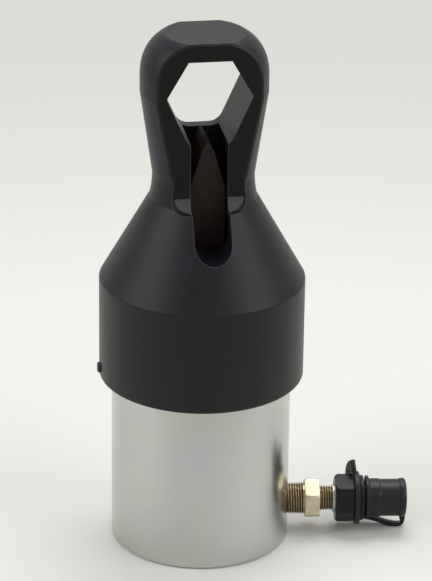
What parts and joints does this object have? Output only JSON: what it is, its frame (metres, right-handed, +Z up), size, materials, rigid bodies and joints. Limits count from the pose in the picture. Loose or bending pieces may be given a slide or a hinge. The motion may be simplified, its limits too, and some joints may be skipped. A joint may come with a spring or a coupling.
{
  "type": "hydraulic nut splitter",
  "caption": "Upright hydraulic nut splitter: round cylinder with side quick coupling, black cone head with a hexagonal nut opening, and a wedge blade driven up through a slot.",
  "frame": {"origin": "centre of the cylinder's flat base, on the ram's axis", "axes": "+Z up along the ram, towards the nut opening; the head's milled flats face -Y and +Y; the oil port points 7 degrees from +X towards -Y"},
  "size_m": [0.1764, 0.1138, 0.2979],
  "materials": {
    "satin_plated_steel": "satin silver plating",
    "blackened_steel": "matt black phosphate",
    "black_oxide_screw": "black oxide",
    "bearing_bronze": "turned bronze",
    "seal_rubber": "moulded",
    "backup_plastic": "turned PTFE",
    "ground_steel": "ground",
    "spring_steel": "oiled spring wire",
    "tempered_tool_steel": "brown tempered",
    "zinc_plated_steel": "yellow zinc plating",
    "washer_metal": "soft aluminium",
    "black_coupling_steel": "black plating",
    "cap_rubber": "moulded, slightly glossy"
  },
  "bodies": {
    "cylinder": {"barrel": "satin_plated_steel", "head": "blackened_steel", "head_locking_screw": "black_oxide_screw", "rod_guide": "bearing_bronze", "rod_wiper": "seal_rubber", "nipple": "zinc_plated_steel", "sealing_washer": "washer_metal", "coupling_body": "black_coupling_steel", "valve_cage": "ground_steel", "valve_spring": "spring_steel", "valve_seat_ring": "seal_rubber"},
    "ram": {"ram": "ground_steel", "piston_seal": "seal_rubber", "backup_ring": "backup_plastic", "guide_band": "backup_plastic", "return_spring": "spring_steel", "blade": "tempered_tool_steel", "blade_screw": "black_oxide_screw"},
    "check_valve": {"poppet": "ground_steel"},
    "cap_ring": {"cap_ring": "cap_rubber"},
    "dust_cap": {"dust_cap": "cap_rubber", "cap_strap": "cap_rubber"}
  },
  "joints": [
    {"name": "ram_stroke", "type": "slide", "parent": "cylinder", "child": "ram", "axis": [0, 0, 1], "range_m": [0, 0.018], "stiffness_N_per_m": 6000, "springref_m": -0.01, "deforming": ["return_spring"]},
    {"name": "valve_lift", "type": "slide", "parent": "cylinder", "child": "check_valve", "axis": [-0.9925, 0.1219, 0], "range_m": [0, 0.003], "stiffness_N_per_m": 1500, "springref_m": -0.002},
    {"name": "cap_ring_turn", "type": "hinge", "parent": "cylinder", "child": "cap_ring", "pos_m": [0.08933, -0.01097, 0.0185], "axis": [0.9925, -0.1219, 0], "range_deg": [-90, 90]},
    {"name": "cap_pull", "type": "slide", "parent": "cap_ring", "child": "dust_cap", "axis": [0.9925, -0.1219, 0], "range_m": [0, 0.02]}
  ]
}
